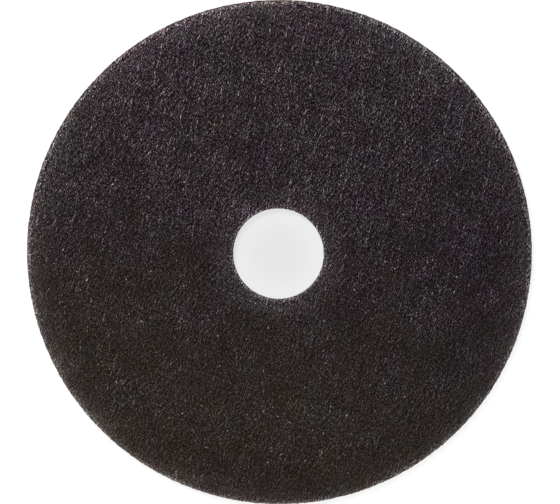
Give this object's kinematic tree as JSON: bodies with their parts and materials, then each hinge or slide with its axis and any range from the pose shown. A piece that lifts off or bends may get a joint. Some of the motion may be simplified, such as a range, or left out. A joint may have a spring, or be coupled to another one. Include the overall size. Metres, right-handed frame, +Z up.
{
  "type": "cut-off wheel",
  "caption": "Flat round bonded-abrasive wheel with a plain central bore, clamped between two flanges on an angle grinder to cut metal.",
  "frame": {"origin": "on the bore's axis, at the lower face that the wheel lies on", "axes": "+Z up along the bore's axis; +X and +Y along any two radii at right angles"},
  "size_m": [0.125, 0.125, 0.0016],
  "materials": {
    "bonded_abrasive": "dull, gritty, near-black resin-bonded grain with a faint brown cast, paler at the rim and the bore"
  },
  "bodies": {
    "root": {"abrasive_disc": "bonded_abrasive"}
  },
  "joints": []
}
